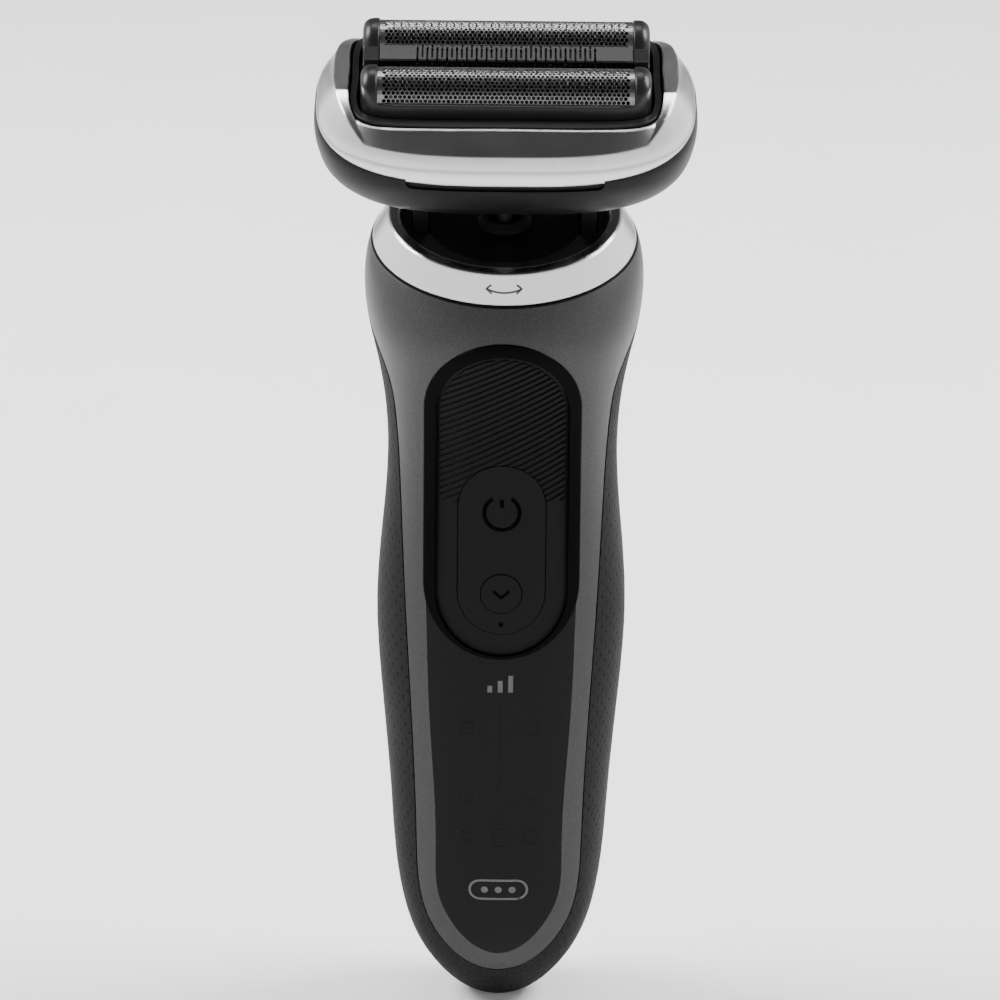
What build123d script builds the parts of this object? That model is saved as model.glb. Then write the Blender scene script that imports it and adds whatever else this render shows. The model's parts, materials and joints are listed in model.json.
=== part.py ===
from build123d import *
from math import copysign, cos, radians, sin
import os

os.makedirs("parts", exist_ok=True)

# Foil shaver. Millimetres and degrees. +Z runs up the handle, -Y is the button side, and the origin
# is the middle of the power inlet's mouth at the bottom of the handle.

# ---------------------------------------------------------------- driving sizes

HEAD_TILT = 16.0  # the neck and the head lean forward by this much
RING_HEIGHT = 137.4  # centre of the collar ring's top plane
NECK_LENGTH = 26.0  # from the collar ring's top plane up to the head's datum plane

# y and z of the centre, half width, half depth, roundness and lean of each section of the handle
HANDLE_SECTIONS = (
    (0.0, 0.0, 3.3, 3.0, 2.0, 0.0),
    (0.0, 1.6, 6.7, 5.7, 2.0, 0.0),
    (0.0, 5.0, 10.2, 8.6, 2.1, 0.0),
    (0.0, 11.4, 14.1, 12.0, 2.3, 0.0),
    (0.0, 20.6, 16.7, 14.2, 2.4, 0.0),
    (0.0, 38.0, 18.3, 15.8, 2.5, 0.0),
    (0.0, 56.0, 19.8, 17.0, 2.5, 0.0),
    (0.0, 72.0, 20.6, 17.5, 2.5, 0.0),
    (0.0, 88.0, 19.4, 17.3, 2.5, 0.0),
    (0.0, 98.0, 18.85, 17.2, 2.4, 0.0),
    (0.0, 107.0, 19.4, 17.8, 2.3, 1.0),
    (0.0, 114.5, 20.75, 19.4, 2.2, 3.0),
    (0.2, 121.0, 22.2, 21.3, 2.1, 7.0),
    (0.7, 126.5, 22.7, 22.2, 2.0, 12.0),
    (1.1, 130.2, 22.4, 22.1, 2.0, 15.0),
    (1.35, 132.7, 21.7, 21.7, 2.0, HEAD_TILT),
)

# height above the head's datum plane, half width and half depth of each section of the head
HEAD_SECTIONS = (
    (-18.4, 22.8, 12.8),
    (-17.3, 25.1, 15.2),
    (-15.6, 27.2, 17.2),
    (-13.4, 29.0, 18.8),
    (-11.0, 29.9, 20.3),
    (-8.7, 30.4, 21.2),
    (-6.5, 30.5, 21.4),
    (-4.65, 30.1, 20.5),
    (-3.0, 29.2, 19.5),
    (0.0, 27.5, 17.8),
    (1.2, 26.8, 17.1),
)
HEAD_ROUNDNESS = 3.0
RIM_STEP_HALF_WIDTH = 15.5
CREST, FACET_TOP = -4.2, -0.9  # the rim's front facet falls outwards from one height to the other
HEAD_WALL = 1.9
RIM_OPENING = (24.8, 15.9)  # half width and half depth of the opening in the rim
RIM_ROUNDNESS = 6.0

SHELL_WALL = 2.2
GRIP_THICKNESS = 1.25
LINER_DEPTH = 1.35  # outside of the hard rear shell, under the grip
LINER_INNER = 3.3
INSIDE = 3.6  # everything inside the handle stays this far under its outside
SEAM = 0.15
SEAM_LEVEL = NECK_LENGTH + 15.0  # the grip ends this far under the head's datum plane

BEZEL_HEIGHT, BEZEL_WIDTH, BEZEL_CENTRE = 54.8, 25.3, 93.9
PAD_HEIGHT, PAD_WIDTH, PAD_CENTRE = 52.0, 21.5, 93.1
ISLAND_HEIGHT, ISLAND_WIDTH, ISLAND_CENTRE = 29.0, 14.4, 85.2
ROUND_BUTTON_RADIUS, ROUND_BUTTON_HEIGHT = 3.3, 77.8
POWER_MARK_HEIGHT = 91.6
BUTTON_GAP = 0.12
RIB_PITCH, RIB_WIDTH, RIB_ANGLE, RIBS = 1.07, 0.45, 27.0, 35

PIVOT = -14.0  # both swivel axes cross here, measured from the head's datum plane
PIN_RADIUS = 1.0
PIN_CLEARANCE = 0.05

FOIL_OFFSET = 7.5  # each foil's axis lies this far in front of or behind the head's middle
FOIL_AXIS = -0.4
FOIL_RADIUS = 4.6
FOIL_SHEET = 0.18
FOIL_HALF_LENGTH = 20.2
UNIT_HALF_LENGTH = 22.9
UNIT_BOTTOM = -6.0

COMB_PITCH, COMB_SLOT, COMB_SLOTS = 0.78, 0.34, 37
GUARD_PITCH, GUARD_SLOT, GUARD_SLOTS = 0.81, 0.4, 44
LAMELLA_PITCH, LAMELLA_THICKNESS, LAMELLAE = 1.2, 0.3, 31

INLET_PIN_RADIUS, INLET_PIN_SPACING, INLET_PIN_TIP = 1.0, 6.6, 0.5
INLET_PIN_ROOT = 0.8  # the pins are thinner where the inlet housing holds them

# ---------------------------------------------------------------- planes

LEAN = radians(HEAD_TILT)


def head_plane(height):
    """A plane across the leaning head, this far above the head's datum plane."""
    lift = NECK_LENGTH + height
    origin = (0, -lift * sin(LEAN), RING_HEIGHT + lift * cos(LEAN))
    return Plane(origin=origin, x_dir=(1, 0, 0), z_dir=(0, -sin(LEAN), cos(LEAN)))


def ring_plane(height):
    """A plane across the collar ring, this far above the ring's top."""
    return head_plane(height - NECK_LENGTH)


HEAD_ORIGIN = head_plane(0).origin
HEAD_SIDE = Plane(origin=HEAD_ORIGIN, x_dir=(0, cos(LEAN), sin(LEAN)), z_dir=(1, 0, 0))
HEAD_FRONT = Plane(origin=HEAD_ORIGIN, x_dir=(1, 0, 0), z_dir=(0, -cos(LEAN), -sin(LEAN)))
RING_SIDE = Plane(
    origin=ring_plane(0).origin, x_dir=(0, cos(LEAN), sin(LEAN)), z_dir=(1, 0, 0)
)
FRONT = Plane.XZ  # its normal points to -Y, the button side


def side_plane(x):
    """The head's side view, moved sideways to x."""
    return HEAD_SIDE.offset(x)


# ---------------------------------------------------------------- shared shapes


def superellipse(half_width, half_depth, power, count=24):
    """Points round a rounded outline: power 2 is an ellipse, higher powers are squarer.

    The first point is off the axes, which keeps the surface's seam clear of the cutting planes."""
    points = []
    for step in range(count):
        turn = radians(360 / count * (step + 2))
        x = copysign(abs(cos(turn)) ** (2 / power), cos(turn))
        y = copysign(abs(sin(turn)) ** (2 / power), sin(turn))
        points.append((half_width * x, half_depth * y))
    return points


def handle_form(inset):
    """The handle's outside, or a nested copy of it that lies inset mm further in."""
    with BuildPart() as form:
        for y, z, half_width, half_depth, power, tilt in HANDLE_SECTIONS:
            lean = radians(tilt)
            rise = inset * max(0, 1 - z / 16)
            section = Plane(
                origin=(0, y, z + rise), x_dir=(1, 0, 0), z_dir=(0, -sin(lean), cos(lean))
            )
            width = max(half_width - inset, 1.2)
            depth = max(half_depth - inset, 1.0)
            with BuildSketch(section):
                with BuildLine():
                    Spline(*superellipse(width, depth, power), periodic=True)
                make_face()
        loft()
    return form.part


def head_form(inset):
    """The head's outside, or a nested copy of it that lies inset mm further in."""
    with BuildPart() as form:
        for height, half_width, half_depth in HEAD_SECTIONS:
            rise = inset * max(0, (-height - 14) / 4.4)
            with BuildSketch(head_plane(height + rise)):
                with BuildLine():
                    Spline(
                        *superellipse(half_width - inset, half_depth - inset, HEAD_ROUNDNESS),
                        periodic=True,
                    )
                make_face()
        loft()
    return form.part


def front_region(margin):
    """The space of the grey front shell: its front outline, and everything above the seam level."""
    side = [
        (22.9, 123.5),
        (20.6, 117.6),
        (18.1, 111.0),
        (17.3, 106.0),
        (16.35, 91.2),
        (15.6, 75.0),
        (13.7, 33.0),
        (13.2, 23.6),
        (11.7, 17.6),
        (8.6, 12.6),
        (4.4, 9.0),
    ]
    with BuildPart() as region:
        with BuildSketch(FRONT.offset(-1.3)):
            with BuildLine():
                right = [(x + margin, z) for x, z in side]
                left = [(-x, z) for x, z in reversed(right)]
                Spline(*right, (0, 7.8 - margin), *left)
                Polyline(left[-1], (-24, 126), (24, 126), right[0])
            make_face()
        extrude(amount=30)
        with BuildSketch(head_plane(margin * -1 - SEAM_LEVEL)):
            Rectangle(60, 60)
        extrude(amount=40)
    return region.part


def stadium(height, width, centre, depth=30):
    """An upright rounded bar standing out towards the front, to cut front details with."""
    with BuildPart() as bar:
        with BuildSketch(FRONT):
            with Locations((0, centre)):
                SlotOverall(height, width, rotation=90)
        extrude(amount=depth)
    return bar.part


def panel_region(margin):
    """The tongue of the display panel, as a bar standing out towards the front."""
    with BuildPart() as bar:
        with BuildSketch(FRONT):
            with BuildLine():
                right = [
                    (12.2 + margin, 77.0),
                    (11.6 + margin, 57.0),
                    (10.4 + margin, 31.0),
                    (9.6 + margin, 21.4),
                    (7.6 + margin, 17.3),
                    (5.4 + margin * 0.8, 14.4),
                ]
                left = [(-x, z) for x, z in reversed(right)]
                Spline(*right, (0, 11.6 - margin), *left)
                Line(left[-1], right[0])
            make_face()
        extrude(amount=30)
    return bar.part


def head_lower_region():
    """Everything under the rim's lower edge, which dips at the front and the back."""
    with BuildPart() as region:
        with BuildSketch(HEAD_SIDE):
            with BuildLine():
                ThreePointArc((-26, -10.0), (0, -4.6), (26, -10.0))
                Polyline((26, -10.0), (26, -22), (-26, -22), (-26, -10.0))
            make_face()
        extrude(amount=34, both=True)
        # the rim has a small step down over the middle of its front
        with BuildSketch(HEAD_SIDE):
            with BuildLine():
                ThreePointArc((-27, -10.85), (0, -5.05), (27, -10.85))
                Polyline((27, -10.85), (27, 0), (-27, 0), (-27, -10.85))
            make_face()
        step = extrude(amount=RIM_STEP_HALF_WIDTH, both=True, mode=Mode.PRIVATE)
        front_half = head_box((-20, 20), (-30, -10), (-24, 4))
        add(step & front_half, mode=Mode.SUBTRACT)
    return region.part


def head_upper_region():
    """Everything under the rim's top: a funnel-like facet all round, and the two raised ends."""
    with BuildPart() as region:
        with BuildSketch(head_plane(CREST)):
            with BuildLine():
                Spline(*superellipse(30.1, 20.4, HEAD_ROUNDNESS), periodic=True)
            make_face()
        with BuildSketch(head_plane(FACET_TOP)):
            with BuildLine():
                inner_width, inner_depth = RIM_OPENING[0] - 0.6, RIM_OPENING[1] - 0.6
                Spline(*superellipse(inner_width, inner_depth, RIM_ROUNDNESS), periodic=True)
            make_face()
        loft()
        add(head_box((-34, 34), (-26, 26), (-22, CREST)))
        with BuildSketch(HEAD_SIDE):
            with BuildLine():
                Line((-17.8, -4.6), (-17.8, -20))
                Line((-17.8, -20), (17.8, -20))
                Line((17.8, -20), (17.8, -4.6))
                ThreePointArc((17.8, -4.6), (12.4, -1.35), (7, 0.35))
                Line((7, 0.35), (-7, 0.35))
                ThreePointArc((-7, 0.35), (-12.4, -1.35), (-17.8, -4.6))
            make_face()
        extrude(amount=34, both=True)
    return region.part


def rounded_bar(half_width, half_depth, power, bottom, top):
    """A prism with a superellipse outline across the head, from bottom up to top."""
    with BuildPart() as bar:
        with BuildSketch(head_plane(bottom)):
            with BuildLine():
                Spline(*superellipse(half_width, half_depth, power), periodic=True)
            make_face()
        extrude(amount=top - bottom)
    return bar.part


def head_box(x, y, z):
    """A box in the head's own directions, given by its (low, high) limits."""
    with BuildPart() as box:
        with BuildSketch(head_plane(z[0])):
            with Locations(((x[0] + x[1]) / 2, (y[0] + y[1]) / 2)):
                Rectangle(x[1] - x[0], y[1] - y[0])
        extrude(amount=z[1] - z[0])
    return box.part


def post(x, y, radius, bottom, top):
    """A round post along the head's axis."""
    with BuildPart() as rod:
        with BuildSketch(head_plane(bottom)):
            with Locations((x, y)):
                Circle(radius)
        extrude(amount=top - bottom)
    return rod.part


def cross_rod(y, z, radius, start, end):
    """A round rod across the head, from x = start to x = end."""
    with BuildPart() as rod:
        with BuildSketch(side_plane(start)):
            with Locations((y, z)):
                Circle(radius)
        extrude(amount=end - start)
    return rod.part


def fore_rod(x, z, radius, start, end):
    """A round rod along the head's fore-and-aft direction, from y = start to y = end."""
    with BuildPart() as rod:
        with BuildSketch(HEAD_FRONT.offset(-end)):
            with Locations((x, z)):
                Circle(radius)
        extrude(amount=end - start)
    return rod.part


def coil_spring(x, y, radius, wire, bottom, top, turns):
    """A compression spring along the head's axis."""
    base = head_plane(bottom + wire)
    length = top - bottom - 2 * wire
    coil = Helix(pitch=length / turns, height=length, radius=radius)
    path = base.shift_origin(base.from_local_coords((x, y, 0))) * coil
    with BuildPart() as spring:
        with BuildSketch(Plane(origin=path @ 0, z_dir=path % 0)):
            Circle(wire)
        sweep(path=path)
    return spring.part


HANDLE = handle_form(0)
HEAD = head_form(0)
FRONT_SPACE = front_region(0)
FRONT_SPACE_WIDE = front_region(SEAM)
BEZEL_BAR = stadium(BEZEL_HEIGHT, BEZEL_WIDTH, BEZEL_CENTRE)
PANEL_BAR = panel_region(0)
LOWER_HEAD = head_lower_region()

# ---------------------------------------------------------------- handle shells

INLET_HALF_WIDTH, INLET_HALF_DEPTH, INLET_CORNER = 6.5, 4.4, 4.0


def inlet_bar(margin, bottom, top):
    """The rounded outline of the power inlet as an upright bar."""
    with BuildPart() as bar:
        with BuildSketch(Plane.XY.offset(bottom)):
            RectangleRounded(
                2 * (INLET_HALF_WIDTH + margin),
                2 * (INLET_HALF_DEPTH + margin),
                INLET_CORNER + margin,
            )
        extrude(amount=top - bottom)
    return bar.part


with BuildPart() as front_housing:
    add(HANDLE)
    add(handle_form(SHELL_WALL), mode=Mode.SUBTRACT)
    add(FRONT_SPACE, mode=Mode.INTERSECT)
    add(stadium(BEZEL_HEIGHT + 0.1, BEZEL_WIDTH + 0.1, BEZEL_CENTRE), mode=Mode.SUBTRACT)
    add(panel_region(0.05), mode=Mode.SUBTRACT)
front_housing.part.label = "front_housing"
export_step(front_housing.part, "parts/front_housing.step")

with BuildPart() as grip_cover:
    add(HANDLE)
    add(handle_form(GRIP_THICKNESS), mode=Mode.SUBTRACT)
    add(FRONT_SPACE_WIDE, mode=Mode.SUBTRACT)
    add(inlet_bar(0.1, -2, 12), mode=Mode.SUBTRACT)
grip_cover.part.label = "grip_cover"
export_step(grip_cover.part, "parts/grip_cover.step")

# x, height, and the y at which the screw's head sits
SCREW_PLACES = ((-7.0, 40.0, 12.1), (7.0, 40.0, 12.1), (-7.0, 84.0, 13.6), (7.0, 84.0, 13.6))
SCREW_RADIUS, SCREW_HEAD_RADIUS, SCREW_HEAD, SCREW_LENGTH = 1.0, 1.9, 1.0, 6.8


def back_rod(x, z, radius, start, end):
    """A round rod along +Y, from y = start to y = end."""
    with BuildPart() as rod:
        with BuildSketch(Plane.XZ.offset(-end)):
            with Locations((x, z)):
                Circle(radius)
        extrude(amount=end - start)
    return rod.part


with BuildPart() as rear_housing:
    add(handle_form(LINER_DEPTH))
    add(handle_form(LINER_INNER), mode=Mode.SUBTRACT)
    add(FRONT_SPACE_WIDE, mode=Mode.SUBTRACT)
    add(inlet_bar(0.1, -2, 14), mode=Mode.SUBTRACT)
    for x, z, seat in SCREW_PLACES:
        add(back_rod(x, z, SCREW_HEAD_RADIUS + 0.1, seat, 20), mode=Mode.SUBTRACT)
        add(back_rod(x, z, SCREW_RADIUS + 0.1, 0, 20), mode=Mode.SUBTRACT)
rear_housing.part.label = "rear_housing"
export_step(rear_housing.part, "parts/rear_housing.step")

with BuildPart() as housing_screws:
    for x, z, seat in SCREW_PLACES:
        add(back_rod(x, z, SCREW_HEAD_RADIUS, seat, seat + SCREW_HEAD))
        add(back_rod(x, z, SCREW_RADIUS, seat - SCREW_LENGTH, seat))
        with BuildSketch(Plane.XZ.offset(-seat - SCREW_HEAD)):
            with Locations((x, z)):
                Rectangle(2.4, 0.5)
                Rectangle(0.5, 2.4)
        extrude(amount=0.6, mode=Mode.SUBTRACT)
housing_screws.part.label = "housing_screws"
export_step(housing_screws.part, "parts/housing_screws.step")

# ---------------------------------------------------------------- front panel and buttons

with BuildPart() as button_bezel:
    add(handle_form(-0.3))
    add(handle_form(1.8), mode=Mode.SUBTRACT)
    add(BEZEL_BAR, mode=Mode.INTERSECT)
    add(stadium(PAD_HEIGHT + 0.1, PAD_WIDTH + 0.1, PAD_CENTRE), mode=Mode.SUBTRACT)
button_bezel.part.label = "button_bezel"
export_step(button_bezel.part, "parts/button_bezel.step")

with BuildPart() as display_panel:
    add(HANDLE)
    add(handle_form(1.6), mode=Mode.SUBTRACT)
    add(PANEL_BAR, mode=Mode.INTERSECT)
    add(stadium(BEZEL_HEIGHT + 0.1, BEZEL_WIDTH + 0.1, BEZEL_CENTRE), mode=Mode.SUBTRACT)
display_panel.part.label = "display_panel"
export_step(display_panel.part, "parts/display_panel.step")

with BuildPart() as rib_bars:
    rib_low = ROUND_BUTTON_HEIGHT + 15.5
    with BuildSketch(FRONT):
        for step in range(RIBS):
            with Locations((0, rib_low - 5.0 + step * RIB_PITCH)):
                Rectangle(40, RIB_WIDTH, rotation=RIB_ANGLE)
    extrude(amount=30)
    with BuildSketch(FRONT):
        with Locations((0, rib_low + 20)):
            Rectangle(60, 40)
    extrude(amount=30, mode=Mode.INTERSECT)

with BuildPart() as control_pad:
    add(handle_form(0.4))
    add(handle_form(1.8), mode=Mode.SUBTRACT)
    add(stadium(PAD_HEIGHT, PAD_WIDTH, PAD_CENTRE), mode=Mode.INTERSECT)
    with BuildPart(mode=Mode.PRIVATE) as ribs:
        add(handle_form(0.12))
        add(handle_form(0.5), mode=Mode.SUBTRACT)
        add(stadium(PAD_HEIGHT - 1.2, PAD_WIDTH - 1.2, PAD_CENTRE), mode=Mode.INTERSECT)
        add(rib_bars.part, mode=Mode.INTERSECT)
    add(ribs.part)
    add(stadium(ISLAND_HEIGHT, ISLAND_WIDTH, ISLAND_CENTRE), mode=Mode.SUBTRACT)
control_pad.part.label = "control_pad"
export_step(control_pad.part, "parts/control_pad.step")

FLANGE = 0.9
with BuildPart() as power_button:
    add(handle_form(0.2))
    add(handle_form(2.0), mode=Mode.SUBTRACT)
    island = (ISLAND_HEIGHT - 2 * BUTTON_GAP, ISLAND_WIDTH - 2 * BUTTON_GAP, ISLAND_CENTRE)
    add(stadium(*island), mode=Mode.INTERSECT)
    with BuildPart(mode=Mode.PRIVATE) as flange:
        add(handle_form(2.0))
        add(handle_form(2.7), mode=Mode.SUBTRACT)
        wide_island = (ISLAND_HEIGHT + FLANGE, ISLAND_WIDTH + FLANGE, ISLAND_CENTRE)
        add(stadium(*wide_island), mode=Mode.INTERSECT)
    add(flange.part)
    add(back_rod(0, POWER_MARK_HEIGHT, 1.2, -15.2, -12.6))
    round_hole = ROUND_BUTTON_RADIUS + BUTTON_GAP
    add(back_rod(0, ROUND_BUTTON_HEIGHT, round_hole, -30, 0), mode=Mode.SUBTRACT)
power_button.part.label = "power_button"
export_step(power_button.part, "parts/power_button.step")

with BuildPart() as function_button:
    add(handle_form(0.05))
    add(handle_form(2.7), mode=Mode.SUBTRACT)
    add(back_rod(0, ROUND_BUTTON_HEIGHT, ROUND_BUTTON_RADIUS, -30, 0), mode=Mode.INTERSECT)
    add(back_rod(0, ROUND_BUTTON_HEIGHT, 1.2, -15.2, -12.6))
function_button.part.label = "function_button"
export_step(function_button.part, "parts/function_button.step")

with BuildPart() as display_diffuser:
    add(handle_form(1.8))
    add(handle_form(2.6), mode=Mode.SUBTRACT)
    with BuildSketch(FRONT):
        with Locations((0, 45)):
            RectangleRounded(17, 34, 4)
    extrude(amount=30, mode=Mode.INTERSECT)
display_diffuser.part.label = "display_diffuser"
export_step(display_diffuser.part, "parts/display_diffuser.step")

# ---------------------------------------------------------------- collar, neck cover, fork

with BuildPart() as collar_ring:
    with BuildSketch(RING_SIDE):
        with BuildLine():
            Polyline(
                (16.9, 0),
                (18.9, 0),
                (21.4, -4.4),
                (19.2, -4.4),
                (19.2, -6.5),
                (15.6, -6.5),
                (15.6, -3.3),
                (16.9, -3.3),
                close=True,
            )
        make_face()
    revolve(axis=Axis(RING_SIDE.origin, (0, -sin(LEAN), cos(LEAN))))
    chamfer(collar_ring.edges().filter_by(GeomType.CIRCLE).sort_by(Axis.Z)[-2:], 0.25)
collar_ring.part.label = "collar_ring"
export_step(collar_ring.part, "parts/collar_ring.step")

ARM_INNER, ARM_OUTER, ARM_FOOT = 12.4, 14.8, 4.0
SEAL_RADIUS = 4.4

with BuildPart() as neck_cover:
    with BuildSketch(RING_SIDE):
        with BuildLine():
            Polyline(
                (SEAL_RADIUS, -1.9),
                (12.5, -1.9),
                (16.7, -0.9),
                (16.7, -3.1),
                (SEAL_RADIUS, -3.1),
                close=True,
            )
        make_face()
    revolve(axis=Axis(RING_SIDE.origin, (0, -sin(LEAN), cos(LEAN))))
    for side in (-1, 1):
        with BuildSketch(ring_plane(-4)):
            with Locations((side * (ARM_INNER + ARM_OUTER) / 2, 0)):
                Rectangle(ARM_OUTER - ARM_INNER + 0.6, 2 * ARM_FOOT + 0.6)
        extrude(amount=5, mode=Mode.SUBTRACT)
neck_cover.part.label = "neck_cover"
export_step(neck_cover.part, "parts/neck_cover.step")

with BuildPart() as shaft_seal:
    with BuildSketch(RING_SIDE):
        with BuildLine():
            Polyline(
                (2.9, -3.1),
                (SEAL_RADIUS, -3.1),
                (SEAL_RADIUS, -1.7),
                (3.6, -0.6),
                (2.9, -0.6),
                close=True,
            )
        make_face()
    revolve(axis=Axis(RING_SIDE.origin, (0, -sin(LEAN), cos(LEAN))))
shaft_seal.part.label = "shaft_seal"
export_step(shaft_seal.part, "parts/shaft_seal.step")

FORK_BOTTOM = -8.0 - NECK_LENGTH
with BuildPart() as pivot_fork:
    add(head_box((-ARM_OUTER, ARM_OUTER), (-ARM_FOOT, ARM_FOOT), (FORK_BOTTOM, FORK_BOTTOM + 3)))
    for side in (-1, 1):
        with BuildSketch(side_plane(side * ARM_INNER if side > 0 else -ARM_OUTER)):
            with BuildLine():
                Polyline(
                    (-2.2, PIVOT),
                    (-ARM_FOOT, PIVOT - 9),
                    (-ARM_FOOT, FORK_BOTTOM + 1),
                    (ARM_FOOT, FORK_BOTTOM + 1),
                    (ARM_FOOT, PIVOT - 9),
                    (2.2, PIVOT),
                )
                ThreePointArc((2.2, PIVOT), (0, PIVOT + 2.2), (-2.2, PIVOT))
            make_face()
        extrude(amount=ARM_OUTER - ARM_INNER)
    add(cross_rod(0, PIVOT, PIN_RADIUS + PIN_CLEARANCE, -20, 20), mode=Mode.SUBTRACT)
    add(post(0, 0, 2.9, FORK_BOTTOM - 1, FORK_BOTTOM + 4), mode=Mode.SUBTRACT)
    for side in (-1, 1):
        add(post(side * 8.5, 0, 1.1, FORK_BOTTOM - 1, FORK_BOTTOM + 4), mode=Mode.SUBTRACT)
pivot_fork.part.label = "pivot_fork"
export_step(pivot_fork.part, "parts/pivot_fork.step")

with BuildPart() as fork_screws:
    for side in (-1, 1):
        add(post(side * 8.5, 0, 1.0, FORK_BOTTOM - 4, FORK_BOTTOM + 3))
        add(post(side * 8.5, 0, 1.9, FORK_BOTTOM + 3, FORK_BOTTOM + 4.2))
        with BuildSketch(head_plane(FORK_BOTTOM + 3.7)):
            with Locations((side * 8.5, 0)):
                Rectangle(2.4, 0.5)
                Rectangle(0.5, 2.4)
        extrude(amount=1, mode=Mode.SUBTRACT)
fork_screws.part.label = "fork_screws"
export_step(fork_screws.part, "parts/fork_screws.step")

# ---------------------------------------------------------------- inside the handle


def block(x, y, z):
    """An upright box given by its (low, high) limits."""
    with BuildPart() as box:
        with BuildSketch(Plane.XY.offset(z[0])):
            with Locations(((x[0] + x[1]) / 2, (y[0] + y[1]) / 2)):
                Rectangle(x[1] - x[0], y[1] - y[0])
        extrude(amount=z[1] - z[0])
    return box.part


CELL_RADIUS, CELL_BOTTOM, CELL_TOP, CELL_Y = 7.1, 20.0, 70.0, 1.0
PLATE_TOP = FORK_BOTTOM - 0.1

with BuildPart() as chassis:
    add(block((-10, 10), (8.6, 9.8), (16, 74)))
    add(block((-10, 10), (8.6, 11.6), (72, 76)))
    add(block((-12.6, 12.6), (10.4, 11.6), (74, 126)))
    for side in (-1, 1):
        add(block(sorted((side * 11.6, side * 12.8)), (-6, 11), (74, 126)))
    add(block((-12.6, 12.6), (-8, 11), (72.5, 74.5)))
    add(block((-10, 10), (-8, 9), (17.2, 18.7)))
    for x, z, seat in SCREW_PLACES:
        add(back_rod(x, z, 2.4, 6.5, seat - 1.3))
    add(post(0, 0, 16, PLATE_TOP - 2.3, PLATE_TOP))
    with BuildSketch(head_plane(PLATE_TOP)):
        Rectangle(60, 60)
    extrude(amount=30, mode=Mode.SUBTRACT)
    add(handle_form(INSIDE), mode=Mode.INTERSECT)
    add(post(0, 0, 5, PLATE_TOP - 4, PLATE_TOP + 1), mode=Mode.SUBTRACT)
    for side in (-1, 1):
        add(post(side * 8.5, 0, 1.0, PLATE_TOP - 6, PLATE_TOP + 1), mode=Mode.SUBTRACT)
    for x, z, seat in SCREW_PLACES:
        add(back_rod(x, z, SCREW_RADIUS, 0, 20), mode=Mode.SUBTRACT)
chassis.part.label = "chassis"
export_step(chassis.part, "parts/chassis.step")

with BuildPart() as battery_cell:
    with BuildSketch(Plane.XY.offset(CELL_BOTTOM)):
        with Locations((0, CELL_Y)):
            Circle(CELL_RADIUS)
    extrude(amount=CELL_TOP - CELL_BOTTOM)
    fillet(battery_cell.edges(), 0.6)
    with BuildSketch(Plane.XY.offset(CELL_TOP)):
        with Locations((0, CELL_Y)):
            Circle(2.7)
    extrude(amount=0.9)
battery_cell.part.label = "battery_cell"
export_step(battery_cell.part, "parts/battery_cell.step")

BOARD_FRONT, BOARD_BACK = -10.2, -9.0
with BuildPart() as battery_tabs:
    add(block((-2.5, 2.5), (BOARD_BACK, CELL_Y + 3), (CELL_BOTTOM - 0.3, CELL_BOTTOM)))
    add(block((-2.5, 2.5), (BOARD_BACK, BOARD_BACK + 0.3), (CELL_BOTTOM, 34)))
    add(block((-2.5, 2.5), (BOARD_BACK, CELL_Y + 3), (CELL_TOP + 0.9, CELL_TOP + 1.2)))
    add(block((-2.5, 2.5), (BOARD_BACK, BOARD_BACK + 0.3), (62, CELL_TOP + 0.9)))
battery_tabs.part.label = "battery_tabs"
export_step(battery_tabs.part, "parts/battery_tabs.step")

with BuildPart() as main_board:
    with BuildSketch(Plane.XZ.offset(-BOARD_FRONT - 1.2)):
        with Locations((0, 72)):
            RectangleRounded(19, 84, 1.5)
    extrude(amount=1.2)
    add(handle_form(INSIDE), mode=Mode.INTERSECT)
main_board.part.label = "main_board"
export_step(main_board.part, "parts/main_board.step")

with BuildPart() as tact_switches:
    for z in (POWER_MARK_HEIGHT, ROUND_BUTTON_HEIGHT):
        add(block((-2.25, 2.25), (BOARD_FRONT - 0.9, BOARD_FRONT), (z - 2.25, z + 2.25)))
        add(back_rod(0, z, 1.1, BOARD_FRONT - 1.5, BOARD_FRONT - 0.9))
tact_switches.part.label = "tact_switches"
export_step(tact_switches.part, "parts/tact_switches.step")

with BuildPart() as status_leds:
    for x, z in ((-5, 58), (5, 58), (-5, 50), (5, 50), (-5, 42), (5, 42), (0, 36)):
        add(block((x - 0.8, x + 0.8), (BOARD_FRONT - 0.7, BOARD_FRONT), (z - 0.8, z + 0.8)))
status_leds.part.label = "status_leds"
export_step(status_leds.part, "parts/status_leds.step")

MOTOR_Y = 1.8
with BuildPart() as motor_stator:
    add(block((-10.6, 10.6), (MOTOR_Y - 6.5, MOTOR_Y + 6.5), (90, 94)))
    for x in (-8.6, 0, 8.6):
        add(block((x - 2, x + 2), (MOTOR_Y - 6.5, MOTOR_Y + 6.5), (94, 113)))
motor_stator.part.label = "motor_stator"
export_step(motor_stator.part, "parts/motor_stator.step")

with BuildPart() as motor_coil:
    with BuildSketch(Plane.XY.offset(95)):
        with Locations((0, MOTOR_Y)):
            RectangleRounded(12.4, 17, 2.5)
            Rectangle(4.1, 13.1, mode=Mode.SUBTRACT)
    extrude(amount=16)
motor_coil.part.label = "motor_coil"
export_step(motor_coil.part, "parts/motor_coil.step")

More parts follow.
